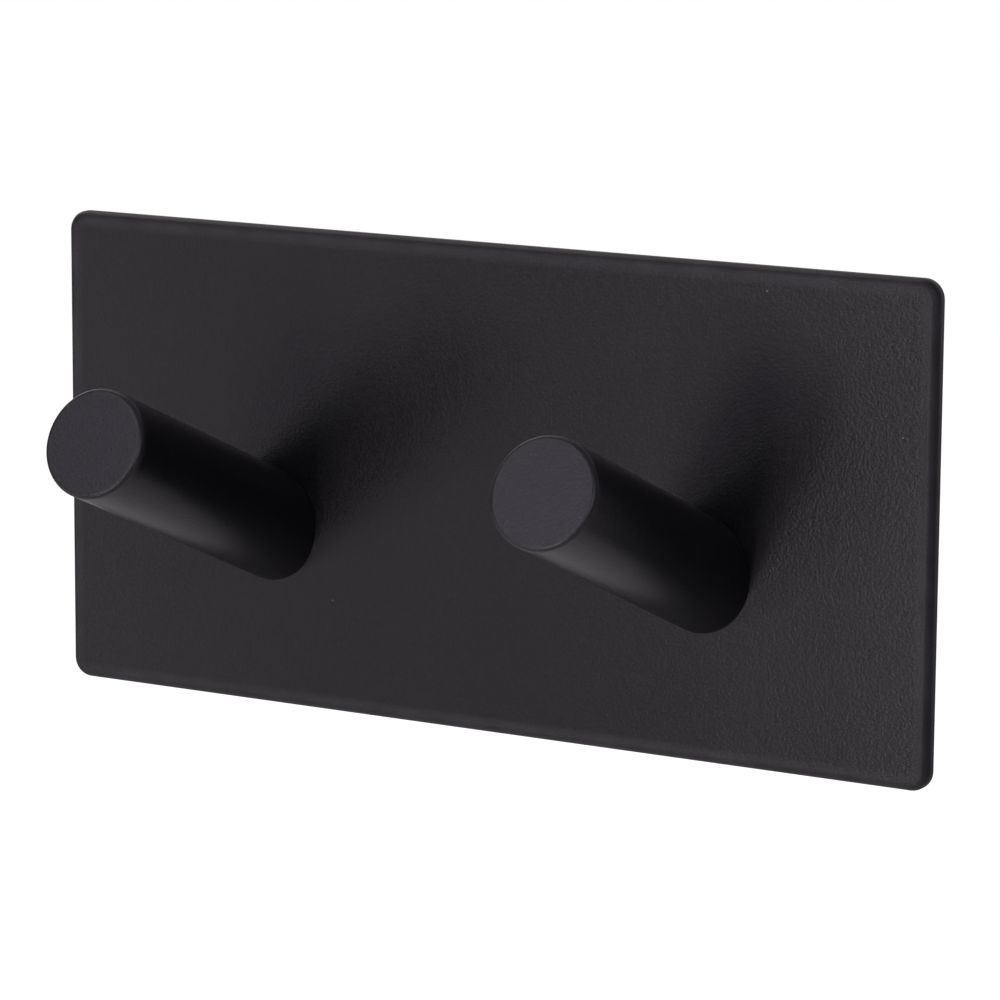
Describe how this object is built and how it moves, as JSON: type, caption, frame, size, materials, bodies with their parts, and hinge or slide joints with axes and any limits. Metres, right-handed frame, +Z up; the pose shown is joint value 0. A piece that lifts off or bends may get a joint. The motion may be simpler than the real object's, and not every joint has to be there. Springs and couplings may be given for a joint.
{
  "type": "double robe hook",
  "caption": "Flat wall plate with a pair of round pegs that lean upwards, screwed on from behind, and an adhesive pad on its back.",
  "frame": {"origin": "middle of the adhesive pad's wall face, which is also the middle of the plate seen from the front", "axes": "+Y into the wall, so the pegs stand out towards -Y; +Z up; +X to the right as seen from the room"},
  "size_m": [0.09, 0.0329, 0.045],
  "materials": {
    "matt_black_coating": "matte",
    "plated_steel": "satin",
    "foam_tape": "matte"
  },
  "bodies": {
    "root": {"back_plate": "matt_black_coating", "left_peg": "matt_black_coating", "right_peg": "matt_black_coating", "left_peg_screw": "plated_steel", "right_peg_screw": "plated_steel", "adhesive_pad": "foam_tape"}
  },
  "joints": []
}
